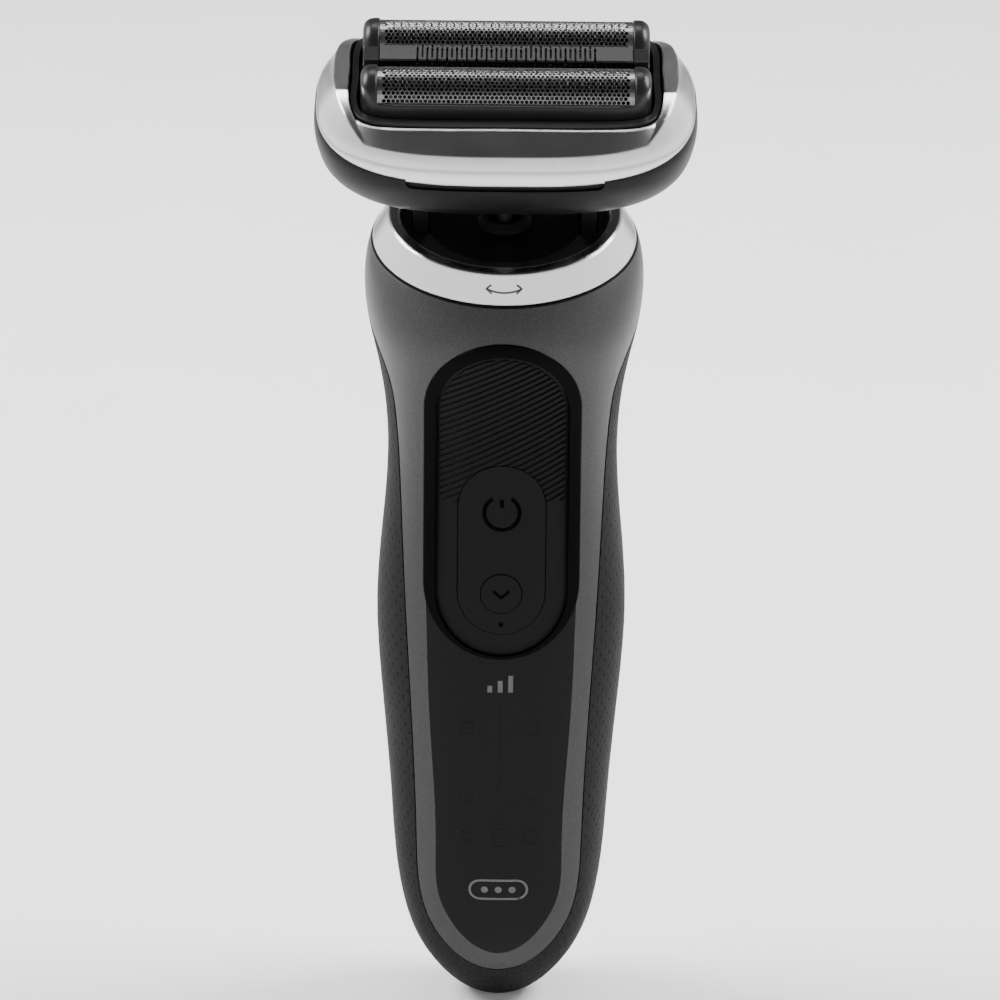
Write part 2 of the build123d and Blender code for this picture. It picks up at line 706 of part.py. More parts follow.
ARM_RADIUS, BALL_RADIUS = 1.2, 1.7
ARM_BOTTOM = -47.0
with BuildPart() as drive_arm:
    add(post(0, 0, ARM_RADIUS, ARM_BOTTOM, PIVOT))
    with BuildSketch(HEAD_SIDE):
        with BuildLine():
            ThreePointArc((0, PIVOT - BALL_RADIUS), (BALL_RADIUS, PIVOT), (0, PIVOT + BALL_RADIUS))
            Line((0, PIVOT + BALL_RADIUS), (0, PIVOT - BALL_RADIUS))
        make_face()
    revolve(axis=Axis(HEAD_ORIGIN, (0, -sin(LEAN), cos(LEAN))))
drive_arm.part.label = "drive_arm"
export_step(drive_arm.part, "parts/drive_arm.step")

with BuildPart() as motor_armature:
    add(block((-8, 8), (MOTOR_Y - 4, MOTOR_Y + 6), (113.6, 119)))
    add(drive_arm.part, mode=Mode.SUBTRACT)
motor_armature.part.label = "motor_armature"
export_step(motor_armature.part, "parts/motor_armature.step")

SOCKET_DEPTH = 9.0
with BuildPart() as inlet_housing:
    add(inlet_bar(0, -1, 13))
    add(HANDLE, mode=Mode.INTERSECT)
    add(inlet_bar(-1.0, -1, SOCKET_DEPTH), mode=Mode.SUBTRACT)
    for side in (-1, 1):
        with BuildSketch(Plane.XY.offset(SOCKET_DEPTH - 1)):
            with Locations((side * INLET_PIN_SPACING / 2, 0)):
                Circle(INLET_PIN_ROOT)
        extrude(amount=8, mode=Mode.SUBTRACT)
inlet_housing.part.label = "inlet_housing"
export_step(inlet_housing.part, "parts/inlet_housing.step")

PIN_PLACES = ((-INLET_PIN_SPACING / 2, 0), (INLET_PIN_SPACING / 2, 0))
with BuildPart() as inlet_pins:
    with BuildSketch(Plane.XY.offset(INLET_PIN_TIP)):
        with Locations(*PIN_PLACES):
            Circle(INLET_PIN_RADIUS)
    extrude(amount=SOCKET_DEPTH - INLET_PIN_TIP - 0.05)
    chamfer(inlet_pins.edges().group_by(Axis.Z)[0], 0.2)
    with BuildSketch(Plane.XY.offset(SOCKET_DEPTH - 0.1)):
        with Locations(*PIN_PLACES):
            Circle(INLET_PIN_ROOT)
    extrude(amount=6)
inlet_pins.part.label = "inlet_pins"
export_step(inlet_pins.part, "parts/inlet_pins.step")

with BuildPart() as inlet_seal:
    with BuildSketch(Plane.XY.offset(10.2)):
        RectangleRounded(2 * INLET_HALF_WIDTH + 2.2, 2 * INLET_HALF_DEPTH + 2.2, INLET_CORNER + 1.1)
        RectangleRounded(
            2 * INLET_HALF_WIDTH + 0.02, 2 * INLET_HALF_DEPTH + 0.02, INLET_CORNER, mode=Mode.SUBTRACT
        )
    extrude(amount=1.4)
    add(handle_form(LINER_INNER + 0.1), mode=Mode.INTERSECT)
inlet_seal.part.label = "inlet_seal"
export_step(inlet_seal.part, "parts/inlet_seal.step")

# ---------------------------------------------------------------- head shells

RELEASE_HEIGHT = -8.6


def release_outline(margin, flange=0.0):
    """The release button's outline, as a bar running out of both sides of the head."""
    with BuildPart() as bar:
        with BuildSketch(HEAD_SIDE):
            with Locations((0, RELEASE_HEIGHT)):
                SlotOverall(12.0 + 2 * margin + flange, 3.8 + 2 * margin)
        extrude(amount=34, both=True)
    return bar.part


with BuildPart() as head_trim:
    add(HEAD)
    add(LOWER_HEAD, mode=Mode.SUBTRACT)
    add(head_upper_region(), mode=Mode.INTERSECT)
    add(rounded_bar(*RIM_OPENING, RIM_ROUNDNESS, -12, 4), mode=Mode.SUBTRACT)
head_trim.part.label = "head_trim"
export_step(head_trim.part, "parts/head_trim.step")

LUG_NEAR, LUG_FAR = 9.2, 11.2
GUIDE_Y, GUIDE_Z, GUIDE_RADIUS = 10.5, -9.2, 0.8

with BuildPart() as head_base:
    add(HEAD)
    add(LOWER_HEAD, mode=Mode.INTERSECT)
    add(head_form(HEAD_WALL), mode=Mode.SUBTRACT)
    with BuildPart(mode=Mode.PRIVATE) as recess:
        add(HEAD)
        add(head_form(0.35), mode=Mode.SUBTRACT)
        with BuildSketch(HEAD_FRONT):
            with Locations((0, -8.0)):
                RectangleRounded(31, 3.6, 1.0)
        extrude(amount=26, mode=Mode.INTERSECT)
    add(recess.part, mode=Mode.SUBTRACT)
    # inside the bowl: seats for the cassette, lugs for the swivel pins, posts for the guide rods
    with BuildPart(mode=Mode.PRIVATE) as inner_posts:
        for side in (-1, 1):
            add(head_box(sorted((side * 21, side * 29)), (-8, 8), (-11.2, -9.6)))
            add(head_box((-2.2, 2.2), sorted((side * LUG_NEAR, side * LUG_FAR)), (-17, PIVOT)))
            add(fore_rod(0, PIVOT, 2.2, *sorted((side * LUG_NEAR, side * LUG_FAR))))
            for end in (-1, 1):
                along, across = sorted((end * 6.6, end * 8.4)), sorted((side * 9.4, side * 11.6))
                add(head_box(along, across, (-17, -8.1)))
        add(head_form(0.6), mode=Mode.INTERSECT)
    add(inner_posts.part)
    # the opening that the fork comes up through
    with BuildSketch(head_plane(-20)):
        RectangleRounded(32.8, 2 * LUG_NEAR, 5)
    extrude(amount=6, mode=Mode.SUBTRACT)
    add(fore_rod(0, PIVOT, PIN_RADIUS + PIN_CLEARANCE, -14, 14), mode=Mode.SUBTRACT)
    for side in (-1, 1):
        add(cross_rod(side * GUIDE_Y, GUIDE_Z, GUIDE_RADIUS, -9, 9), mode=Mode.SUBTRACT)
    add(release_outline(0.15), mode=Mode.SUBTRACT)
head_base.part.label = "head_base"
export_step(head_base.part, "parts/head_base.step")

with BuildPart() as bridge_guides:
    for side in (-1, 1):
        add(cross_rod(side * GUIDE_Y, GUIDE_Z, GUIDE_RADIUS, -8.8, 8.8))
bridge_guides.part.label = "bridge_guides"
export_step(bridge_guides.part, "parts/bridge_guides.step")


def release_button(side):
    """One release button: its outside is a patch of the head's own surface, with a flange behind."""
    with BuildPart() as button:
        add(HEAD)
        add(release_outline(0), mode=Mode.INTERSECT)
        add(head_box(sorted((side * 26.9, side * 33)), (-10, 10), (-14, -2)), mode=Mode.INTERSECT)
        with BuildPart(mode=Mode.PRIVATE) as flange:
            add(release_outline(0, 2.0))
            slice_x = sorted((side * 26.2, side * 26.9))
            add(head_box(slice_x, (-10, 10), (-9.2, -2)), mode=Mode.INTERSECT)
        add(flange.part)
    return button.part


with BuildPart() as release_button_left:
    add(release_button(-1))
release_button_left.part.label = "release_button_left"
export_step(release_button_left.part, "parts/release_button_left.step")

with BuildPart() as release_button_right:
    add(release_button(1))
release_button_right.part.label = "release_button_right"
export_step(release_button_right.part, "parts/release_button_right.step")

# ---------------------------------------------------------------- swivel and drive

with BuildPart() as gimbal_ring:
    with BuildSketch(head_plane(PIVOT - 1.3)):
        RectangleRounded(23.2, 17.2, 2)
        RectangleRounded(17.2, 11.2, 1.2, mode=Mode.SUBTRACT)
    extrude(amount=2.6)
    add(cross_rod(0, PIVOT, PIN_RADIUS, -20, 20), mode=Mode.SUBTRACT)
    add(fore_rod(0, PIVOT, PIN_RADIUS, -20, 20), mode=Mode.SUBTRACT)
gimbal_ring.part.label = "gimbal_ring"
export_step(gimbal_ring.part, "parts/gimbal_ring.step")

with BuildPart() as gimbal_pins:
    for side in (-1, 1):
        add(cross_rod(0, PIVOT, PIN_RADIUS, *sorted((side * 8.8, side * 14.7))))
        add(fore_rod(0, PIVOT, PIN_RADIUS, *sorted((side * 5.8, side * 11.1))))
gimbal_pins.part.label = "gimbal_pins"
export_step(gimbal_pins.part, "parts/gimbal_pins.step")

with BuildPart() as drive_bridge:
    add(head_box((-4, 4), (-8.8, 8.8), (-9.4, -8.2)))
    for side in (-1, 1):
        add(head_box((-4, 4), sorted((side * 8.8, side * 11.8)), (-10.5, -7.9)))
        add(post(0, side * FOIL_OFFSET, 1.0, -8.2, -3.2))
        jaw = sorted((side * (BALL_RADIUS + PIN_CLEARANCE), side * 2.8))
        add(head_box(jaw, (-2.4, 2.4), (PIVOT - 1.2, -9.4)))
        guide_bore = cross_rod(side * GUIDE_Y, GUIDE_Z, GUIDE_RADIUS + PIN_CLEARANCE, -5, 5)
        add(guide_bore, mode=Mode.SUBTRACT)
    add(post(0, 0, 0.6, -8.2, -3.2))
drive_bridge.part.label = "drive_bridge"
export_step(drive_bridge.part, "parts/drive_bridge.step")

# ---------------------------------------------------------------- cassette and shaving units

CASSETTE_BOTTOM, CASSETTE_TOP = -9.3, -1.2
CASSETTE_OUTLINE = (24.45, 15.5, RIM_ROUNDNESS)
POCKET_OUTLINE = (23.35, 13.4, 8)  # the units sit in this pocket of the cassette
UNIT_OUTLINE = (22.95, 13.0, 8)
SPRING_X = 21.7

with BuildPart() as cassette_frame:
    add(rounded_bar(*CASSETTE_OUTLINE, CASSETTE_BOTTOM, CASSETTE_TOP))
    add(rounded_bar(*POCKET_OUTLINE, CASSETTE_BOTTOM + 1, 2), mode=Mode.SUBTRACT)
    add(head_box((-20.4, 20.4), (-12.4, 12.4), (CASSETTE_BOTTOM - 1, 2)), mode=Mode.SUBTRACT)
cassette_frame.part.label = "cassette_frame"
export_step(cassette_frame.part, "parts/cassette_frame.step")


def foil_frame(side):
    """The black frame of one foil: a rail all round, an outer wall and a raised cap at each end."""
    near = FOIL_OFFSET - FOIL_RADIUS + FOIL_SHEET
    far = FOIL_OFFSET + FOIL_RADIUS + 0.8
    whole = (-UNIT_HALF_LENGTH, UNIT_HALF_LENGTH)
    with BuildPart() as frame:
        add(head_box(whole, (near, far), (UNIT_BOTTOM, -4)))
        hollow = (near + 0.8, far - 0.8)
        add(head_box((-FOIL_HALF_LENGTH, FOIL_HALF_LENGTH), hollow, (-8, -3)), mode=Mode.SUBTRACT)
        add(head_box(whole, (far - 0.8, far), (-4, 0.9)))
        for end in (-1, 1):
            along = sorted((end * FOIL_HALF_LENGTH, end * UNIT_HALF_LENGTH))
            across = (FOIL_OFFSET - FOIL_RADIUS + 0.1, far)
            with BuildPart(mode=Mode.PRIVATE) as cap:
                add(cross_rod(FOIL_OFFSET, FOIL_AXIS, FOIL_RADIUS + 0.35, *along))
                add(head_box(along, across, (UNIT_BOTTOM, FOIL_AXIS)))
                add(head_box(along, across, (UNIT_BOTTOM, 8)), mode=Mode.INTERSECT)
                outer_face = cap.faces().sort_by(Axis.X)[-1 if end > 0 else 0]
                fillet(outer_face.edges().filter_by(GeomType.CIRCLE), 1.7)
            add(cap.part)
            add(post(end * SPRING_X, FOIL_OFFSET, 0.95, -7, -3.0), mode=Mode.SUBTRACT)
        add(rounded_bar(*UNIT_OUTLINE, -10, 8), mode=Mode.INTERSECT)
    return frame.part if side > 0 else frame.part.mirror(HEAD_FRONT)


def foil_sheet(side):
    """One foil: a thin arch with two legs that are held in the frame."""
    outline = (side * FOIL_OFFSET, FOIL_AXIS)
    with BuildPart() as sheet:
        with BuildSketch(side_plane(-FOIL_HALF_LENGTH)):
            with Locations(outline):
                Circle(FOIL_RADIUS)
            with Locations((outline[0], FOIL_AXIS - 1.8)):
                Rectangle(2 * FOIL_RADIUS, 3.6)
            with Locations((outline[0], FOIL_AXIS - 1.8)):
                Rectangle(2 * (FOIL_RADIUS - FOIL_SHEET), 3.6, mode=Mode.SUBTRACT)
            with Locations(outline):
                Circle(FOIL_RADIUS - FOIL_SHEET, mode=Mode.SUBTRACT)
            with Locations((outline[0], FOIL_AXIS - 8)):
                Rectangle(20, 9.0, mode=Mode.SUBTRACT)
        extrude(amount=2 * FOIL_HALF_LENGTH)
    return sheet.part


def cutter_block(side):
    """One cutter: a carrier bar with a row of thin half-round lamellae."""
    with BuildPart() as cutter:
        half = (LAMELLAE - 1) / 2 * LAMELLA_PITCH + LAMELLA_THICKNESS / 2
        across = sorted((side * (FOIL_OFFSET - 2.6), side * (FOIL_OFFSET + 2.6)))
        add(head_box((-half, half), across, (-5.2, -1.2)))
        for step in range(LAMELLAE):
            x = (step - (LAMELLAE - 1) / 2) * LAMELLA_PITCH
            with BuildSketch(side_plane(x - LAMELLA_THICKNESS / 2)):
                with Locations((side * FOIL_OFFSET, FOIL_AXIS)):
                    Circle(FOIL_RADIUS - 0.4)
                with Locations((side * FOIL_OFFSET, -1.4 - 5)):
                    Rectangle(20, 10, mode=Mode.SUBTRACT)
                with Locations((side * FOIL_OFFSET, FOIL_AXIS)):
                    Circle(FOIL_RADIUS - 2.8, mode=Mode.SUBTRACT)
            extrude(amount=LAMELLA_THICKNESS)
        slot = sorted((side * (FOIL_OFFSET - 1.4), side * (FOIL_OFFSET + 1.4)))
        add(head_box((-1.05, 1.05), slot, (-6, -1.3)), mode=Mode.SUBTRACT)
    return cutter.part


def float_springs(y):
    """The pair of springs that carries one shaving unit."""
    with BuildPart() as springs:
        for end in (-1, 1):
            add(coil_spring(end * SPRING_X, y, 0.62, 0.14, CASSETTE_BOTTOM + 1, -3.0, 6))
    return springs.part


with BuildPart() as front_foil_frame:
    add(foil_frame(-1))
front_foil_frame.part.label = "front_foil_frame"
export_step(front_foil_frame.part, "parts/front_foil_frame.step")

with BuildPart() as rear_foil_frame:
    add(foil_frame(1))
rear_foil_frame.part.label = "rear_foil_frame"
export_step(rear_foil_frame.part, "parts/rear_foil_frame.step")

with BuildPart() as front_foil:
    add(foil_sheet(-1))
front_foil.part.label = "front_foil"
export_step(front_foil.part, "parts/front_foil.step")

with BuildPart() as rear_foil:
    add(foil_sheet(1))
rear_foil.part.label = "rear_foil"
export_step(rear_foil.part, "parts/rear_foil.step")

with BuildPart() as front_cutter:
    add(cutter_block(-1))
front_cutter.part.label = "front_cutter"
export_step(front_cutter.part, "parts/front_cutter.step")

with BuildPart() as rear_cutter:
    add(cutter_block(1))
rear_cutter.part.label = "rear_cutter"
export_step(rear_cutter.part, "parts/rear_cutter.step")

with BuildPart() as front_foil_springs:
    add(float_springs(-FOIL_OFFSET))
front_foil_springs.part.label = "front_foil_springs"
export_step(front_foil_springs.part, "parts/front_foil_springs.step")

with BuildPart() as rear_foil_springs:
    add(float_springs(FOIL_OFFSET))
rear_foil_springs.part.label = "rear_foil_springs"
export_step(rear_foil_springs.part, "parts/rear_foil_springs.step")

with BuildPart() as trimmer_springs:
    add(float_springs(0))
trimmer_springs.part.label = "trimmer_springs"
export_step(trimmer_springs.part, "parts/trimmer_springs.step")

TRIMMER_HALF_LENGTH, COMB_HALF_LENGTH, COMB_HALF_WIDTH = 22.6, 20.0, 2.2
COMB_TOP, COMB_PLATE, SKIRT_BOTTOM = 3.3, 0.35, 1.2

with BuildPart() as trimmer_frame:
    add(head_box((-TRIMMER_HALF_LENGTH, TRIMMER_HALF_LENGTH), (-1.85, 1.85), (UNIT_BOTTOM, 2.2)))
    for end in (-1, 1):
        add(head_box(sorted((end * 20.05, end * TRIMMER_HALF_LENGTH)), (-2.2, 2.2), (SKIRT_BOTTOM, 3.1)))
    add(head_box((-18.5, 18.5), (-1.15, 1.15), (-8, 4)), mode=Mode.SUBTRACT)
    for end in (-1, 1):
        add(post(end * SPRING_X, 0, 0.95, -7, -3.0), mode=Mode.SUBTRACT)
trimmer_frame.part.label = "trimmer_frame"
export_step(trimmer_frame.part, "parts/trimmer_frame.step")

with BuildPart() as trimmer_comb:
    comb_length = (-COMB_HALF_LENGTH, COMB_HALF_LENGTH)
    add(head_box(comb_length, (-COMB_HALF_WIDTH, COMB_HALF_WIDTH), (SKIRT_BOTTOM, COMB_TOP)))
    add(head_box((-25, 25), (-2.0, 2.0), (0, COMB_TOP - COMB_PLATE)), mode=Mode.SUBTRACT)
    # slots from alternate edges leave a band that winds to and fro
    with BuildSketch(head_plane(COMB_TOP - COMB_PLATE - 0.2)):
        for step in range(COMB_SLOTS):
            x = (step - (COMB_SLOTS - 1) / 2) * COMB_PITCH
            shift = 0.5 if step % 2 else -0.5
            with Locations((x, shift)):
                Rectangle(COMB_SLOT, 2 * COMB_HALF_WIDTH)
    extrude(amount=1, mode=Mode.SUBTRACT)
    with BuildSketch(HEAD_FRONT.offset(-5)):
        for step in range(GUARD_SLOTS):
            x = (step - (GUARD_SLOTS - 1) / 2) * GUARD_PITCH
            with Locations((x, SKIRT_BOTTOM + 0.5)):
                Rectangle(GUARD_SLOT, 1.6)
    extrude(amount=10, mode=Mode.SUBTRACT)
trimmer_comb.part.label = "trimmer_comb"
export_step(trimmer_comb.part, "parts/trimmer_comb.step")

with BuildPart() as trimmer_blade:
    add(head_box((-17.5, 17.5), (-1.7, 1.7), (2.3, 2.85)))
    with BuildSketch(head_plane(2)):
        for step in range(29):
            for edge in (-1, 1):
                with Locations(((step - 14) * 1.17, edge * 1.5)):
                    Rectangle(0.5, 1.4)
    extrude(amount=2, mode=Mode.SUBTRACT)
    add(head_box((-6, 6), (-0.95, 0.95), (-5.2, 2.3)))
    add(post(0, 0, 0.6 + PIN_CLEARANCE, -6, -1.3), mode=Mode.SUBTRACT)
trimmer_blade.part.label = "trimmer_blade"
export_step(trimmer_blade.part, "parts/trimmer_blade.step")
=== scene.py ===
import json
from math import ceil, cos, pi, radians, sin

import bmesh
import bpy
from mathutils import Matrix, Vector
from mathutils.bvhtree import BVHTree

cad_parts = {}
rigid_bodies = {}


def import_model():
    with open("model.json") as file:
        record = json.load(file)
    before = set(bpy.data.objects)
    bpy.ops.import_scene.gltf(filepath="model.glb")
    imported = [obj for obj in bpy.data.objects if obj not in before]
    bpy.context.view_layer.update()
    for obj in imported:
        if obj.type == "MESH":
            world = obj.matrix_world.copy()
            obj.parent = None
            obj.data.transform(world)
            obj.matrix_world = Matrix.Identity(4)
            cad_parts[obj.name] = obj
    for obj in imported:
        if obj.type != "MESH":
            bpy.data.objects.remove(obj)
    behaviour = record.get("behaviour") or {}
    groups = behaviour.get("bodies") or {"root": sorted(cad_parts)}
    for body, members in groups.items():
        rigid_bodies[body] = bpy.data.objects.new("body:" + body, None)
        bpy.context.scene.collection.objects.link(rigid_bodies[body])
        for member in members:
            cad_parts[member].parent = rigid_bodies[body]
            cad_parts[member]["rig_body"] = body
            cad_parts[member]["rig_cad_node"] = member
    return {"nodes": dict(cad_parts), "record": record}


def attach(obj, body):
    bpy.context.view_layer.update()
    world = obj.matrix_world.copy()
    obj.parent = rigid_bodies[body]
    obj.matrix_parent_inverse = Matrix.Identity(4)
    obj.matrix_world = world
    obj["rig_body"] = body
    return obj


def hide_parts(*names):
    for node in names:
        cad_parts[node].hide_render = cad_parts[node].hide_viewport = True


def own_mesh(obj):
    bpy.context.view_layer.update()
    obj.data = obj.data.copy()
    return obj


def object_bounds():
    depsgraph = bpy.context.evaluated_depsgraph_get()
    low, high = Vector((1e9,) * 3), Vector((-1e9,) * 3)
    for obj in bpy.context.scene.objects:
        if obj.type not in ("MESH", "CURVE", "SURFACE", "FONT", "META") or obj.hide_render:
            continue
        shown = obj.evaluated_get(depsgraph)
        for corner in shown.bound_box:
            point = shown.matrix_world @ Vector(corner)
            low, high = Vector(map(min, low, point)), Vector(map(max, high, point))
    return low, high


# Looks of the foil shaver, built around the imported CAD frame. Sizes are in millimetres and are
# turned into metres where a mesh is made. +Z runs up the handle and -Y is the button side.

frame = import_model()
cad_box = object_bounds()
NODES = frame["nodes"]
MM = 0.001

# ---------------------------------------------------------------- driving sizes

HEAD_TILT = radians(16)
HEAD_ORIGIN = Vector((0, -26 * sin(HEAD_TILT), 137.4 + 26 * cos(HEAD_TILT)))

FOIL_OFFSET, FOIL_AXIS, FOIL_RADIUS, FOIL_SHEET = 7.5, -0.4, 4.6, 0.08
FOIL_HALF_LENGTH, FOIL_LEG = 20.15, 3.4
CELL_PITCH, CELL_HOLE = 0.72, 0.345
PERFORATED_HALF_LENGTH, PERFORATED_TURN = 19.4, radians(112)

COMB_PLATE_BOTTOM = 2.94
ACROSS = (0.04, 1, 1)  # stretches a noise into fine lines along X

PROUD, INLAY_DEPTH = 0.02, 0.06
STROKE_STEP = 0.5

CAMERA_ELEVATION = radians(19)
CAMERA_DISTANCE = 0.7594
CAMERA_TARGET = Vector((-0.00033, 0, 0.088))
CAMERA_LENS = 165.4
CAMERA_ROLL = radians(0.55)

FLOOR_SIZE = 12.0
SKY_STRENGTH = 2.5
SKY_STOPS = ((0.0, 1.0), (0.2, 0.8), (0.42, 0.28), (0.62, 0.02), (1.0, 0.012))  # sine of height, grey
BEHIND_START, BEHIND_FULL, BEHIND_SHARE = 0.74, 0.92, 0.14  # how the sky dims towards +Y

# name, place, width and height, power
SOFTBOXES = (
    ("left_softbox", (-0.85, 0.2, 0.95), (0.6, 0.6), 30),
    ("right_softbox", (0.85, 0.2, 0.95), (0.6, 0.6), 30),
    ("top_softbox", (0, 0.5, 1.6), (0.8, 0.4), 10),
)

# ---------------------------------------------------------------- material building


class Finish:
    """A node material under construction: small helpers that add and join shader nodes."""

    def __init__(self, name):
        self.material = bpy.data.materials.new(name)
        self.material.use_nodes = True
        self.nodes = self.material.node_tree.nodes
        self.links = self.material.node_tree.links
        self.shader = self.nodes["Principled BSDF"]
        coordinates = self.nodes.new("ShaderNodeTexCoord")
        self.place = coordinates.outputs["Object"]

    def socket(self, name, value):
        self.shader.inputs[name].default_value = value

    def feed(self, target, value):
        if hasattr(value, "is_output"):
            self.links.new(value, target)
        else:
            target.default_value = value

    def math(self, operation, first, second=0.0, third=0.0):
        node = self.nodes.new("ShaderNodeMath")
        node.operation = operation
        for target, value in zip(node.inputs, (first, second, third)):
            self.feed(target, value)
        return node.outputs[0]

    def stretched(self, stretch):
        """The object's coordinates, stretched along each axis."""
        node = self.nodes.new("ShaderNodeMapping")
        self.links.new(self.place, node.inputs["Vector"])
        node.inputs["Scale"].default_value = stretch
        return node.outputs["Vector"]

    def noise(self, size, detail=3.0, roughness=0.55, stretch=None):
        """Cloudy noise from 0 to 1, with features about size mm across."""
        node = self.nodes.new("ShaderNodeTexNoise")
        node.inputs["Scale"].default_value = 1000 / size
        node.inputs["Detail"].default_value = detail
        node.inputs["Roughness"].default_value = roughness
        place = self.stretched(stretch) if stretch else self.place
        self.links.new(place, node.inputs["Vector"])
        return node.outputs["Fac"]

    def flakes(self, size):
        """A random grey from 0 to 1 for each small cell, size mm across."""
        node = self.nodes.new("ShaderNodeTexVoronoi")
        node.inputs["Scale"].default_value = 1000 / size
        self.links.new(self.place, node.inputs["Vector"])
        split = self.nodes.new("ShaderNodeSeparateColor")
        self.links.new(node.outputs["Color"], split.inputs[0])
        return split.outputs[0]

    def span(self, value, low, high, start=0.0, end=1.0):
        """value, which runs from start to end, moved to run from low to high."""
        node = self.nodes.new("ShaderNodeMapRange")
        self.links.new(value, node.inputs["Value"])
        node.inputs["From Min"].default_value = start
        node.inputs["From Max"].default_value = end
        node.inputs["To Min"].default_value = low
        node.inputs["To Max"].default_value = high
        return node.outputs["Result"]

    def colours(self, value, *stops):
        """A colour ramp: each stop is (position, colour)."""
        node = self.nodes.new("ShaderNodeValToRGB")
        ramp = node.color_ramp
        while len(ramp.elements) < len(stops):
            ramp.elements.new(0.5)
        for element, (position, colour) in zip(ramp.elements, stops):
            element.position = position
            element.color = (*colour, 1)
        self.links.new(value, node.inputs["Fac"])
        return node.outputs["Color"]

    def connect(self, socket, value):
        self.links.new(value, self.shader.inputs[socket])

    def bump(self, *layers, edge=0.12):
        """Fine relief: each layer is (height from 0 to 1, depth in mm), with edges softened by edge mm."""
        bevel = self.nodes.new("ShaderNodeBevel")
        bevel.samples = 4
        bevel.inputs["Radius"].default_value = edge * MM
        normal = bevel.outputs["Normal"]
        for height, depth in layers:
            node = self.nodes.new("ShaderNodeBump")
            node.inputs["Strength"].default_value = 1
            node.inputs["Distance"].default_value = depth * MM
            self.links.new(height, node.inputs["Height"])
            self.links.new(normal, node.inputs["Normal"])
            normal = node.outputs["Normal"]
        self.connect("Normal", normal)


def grey(level):
    return (level, level, level)


def moulded(name, colour, roughness, grain=0.25, depth=0.006, variation=0.18, edge=0.15, shine=0.2):
    """Moulded plastic: a fine spark-eroded grain, slow changes of sheen and a little mottling."""
    finish = Finish(name)
    fine = finish.noise(grain, 4.0, 0.6)
    slow = finish.noise(14.0, 3.0)
    dark = tuple(c * (1 - variation) for c in colour)
    light = tuple(min(1, c * (1 + variation)) for c in colour)
    mixed = finish.math("MULTIPLY_ADD", fine, 0.7, finish.math("MULTIPLY", slow, 0.3))
    finish.connect("Base Color", finish.colours(mixed, (0.3, dark), (0.7, light)))
    sheen = finish.math("ADD", finish.span(slow, -0.05, 0.05), finish.span(fine, -0.04, 0.04))
    finish.connect("Roughness", finish.math("ADD", sheen, roughness))
    finish.socket("Specular IOR Level", shine)
    finish.bump((fine, depth), edge=edge)
    return finish.material


def metal(name, colour, roughness, brush=None, grain=0.12, depth=0.002, variation=0.08, edge=0.12):
    """Bare or plated metal: fine grain, brushed along one axis where brush gives the stretch."""
    finish = Finish(name)
    fine = finish.noise(grain, 4.0, 0.65, brush)
    slow = finish.noise(9.0, 3.0)
    dark = tuple(c * (1 - variation) for c in colour)
    light = tuple(min(1, c * (1 + variation)) for c in colour)
    finish.connect("Base Color", finish.colours(fine, (0.3, dark), (0.7, light)))
    sheen = finish.math("ADD", finish.span(slow, -0.04, 0.04), finish.span(fine, -0.05, 0.05))
    finish.connect("Roughness", finish.math("ADD", sheen, roughness))
    finish.socket("Metallic", 1.0)
    finish.bump((fine, depth), edge=edge)
    return finish.material


def flake_paint(name, colour, roughness, spread=0.3, flake=0.1, metallic=0.5):
    """Metallic paint: each flake has its own brightness, over a slight orange-peel relief."""
    finish = Finish(name)
    flakes = finish.flakes(flake)
    cloudy = finish.noise(0.5, 3.0)
    mixed = finish.math("MULTIPLY_ADD", flakes, 0.75, finish.math("MULTIPLY", cloudy, 0.25))
    dark = tuple(c * (1 - spread) for c in colour)
    bright = tuple(min(1, c * (1 + 2.2 * spread)) for c in colour)
    ramp = finish.colours(mixed, (0.1, dark), (0.62, colour), (0.92, bright))
    finish.connect("Base Color", ramp)
    finish.connect("Roughness", finish.span(cloudy, roughness - 0.06, roughness + 0.06))
    finish.socket("Metallic", metallic)
    finish.bump((finish.noise(0.9, 2.0), 0.004), (flakes, 0.0012), edge=0.15)
    return finish.material


def dimpled_rubber(name, colour, pitch=2.05, radius=0.34):
    """Soft grip rubber with rows of small round dimples, each row moved on by half a pitch."""
    finish = Finish(name)
    split = finish.nodes.new("ShaderNodeSeparateXYZ")
    finish.links.new(finish.place, split.inputs[0])
    x, y, z = split.outputs
    turn = finish.math("ARCTAN2", y, x)
    along = finish.math("MULTIPLY", turn, 19.0 / pitch)
    row = finish.math("MULTIPLY", z, 1000 / (pitch * 0.62))
    row_number = finish.math("FLOOR", row)
    odd = finish.math("MODULO", finish.math("ABSOLUTE", row_number), 2.0)
    shifted = finish.math("MULTIPLY_ADD", odd, 0.5, along)
    from_column = finish.math("SUBTRACT", finish.math("FRACT", shifted), 0.5)
    from_row = finish.math("SUBTRACT", finish.math("FRACT", row), 0.5)
    wide = finish.math("MULTIPLY", from_column, pitch)
    tall = finish.math("MULTIPLY", from_row, pitch * 0.62)
    square = finish.math("MULTIPLY_ADD", wide, wide, finish.math("MULTIPLY", tall, tall))
    distance = finish.math("SQRT", square)
    pit = finish.span(distance, 0.0, 1.0, radius * 0.45, radius)
    fine = finish.noise(0.14, 4.0, 0.6)
    slow = finish.noise(11.0, 3.0)
    # the colour darkens into each dimple: painted shade in the recesses, laid over the rubber's fine grain
    shade = finish.math("MULTIPLY", pit, finish.math("MULTIPLY_ADD", fine, 0.3, 0.7))
    painted_pit_shade = tuple(c * 0.3 for c in colour)
    light = tuple(c * 1.25 for c in colour)
    finish.connect("Base Color", finish.colours(shade, (0.0, painted_pit_shade), (0.78, colour), (1.0, light)))
    finish.connect("Roughness", finish.span(slow, 0.58, 0.72))
    finish.socket("Specular IOR Level", 0.08)
    finish.bump((pit, 0.16), (fine, 0.006), edge=0.2)
    return finish.material


